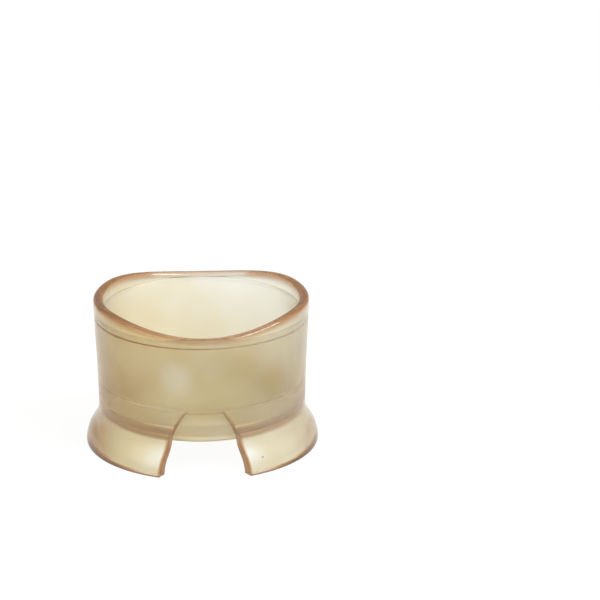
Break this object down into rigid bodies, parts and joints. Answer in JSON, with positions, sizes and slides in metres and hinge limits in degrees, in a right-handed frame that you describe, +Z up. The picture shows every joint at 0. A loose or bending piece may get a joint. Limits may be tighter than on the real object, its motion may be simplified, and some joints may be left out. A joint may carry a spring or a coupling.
{
  "type": "eye bath",
  "caption": "Round eye bath with a saddle-shaped rim, a dished press floor and a flared foot with a thumb notch, in soft translucent amber polymer.",
  "frame": {"origin": "middle of the foot's underside, on the axis of the cup", "axes": "+Z up along the cup's axis, +X towards one of the rim's two high ends, and the thumb notch faces -Y"},
  "size_m": [0.046, 0.0442, 0.0297],
  "materials": {
    "rim_polymer": "soft translucent amber PVC, satin",
    "cup_polymer": "soft translucent amber PVC, satin",
    "floor_polymer": "thin soft translucent amber PVC, satin",
    "foot_polymer": "soft translucent amber PVC, satin"
  },
  "bodies": {
    "cup": {"cup_wall": "cup_polymer", "rim_ring": "rim_polymer", "foot_ring": "foot_polymer"},
    "floor": {"press_floor": "floor_polymer"}
  },
  "joints": [
    {"name": "floor_press", "type": "slide", "parent": "cup", "child": "floor", "axis": [0, 0, 1], "range_m": [0, 0.002], "stiffness_N_per_m": 1000, "springref_m": -0.0005}
  ]
}
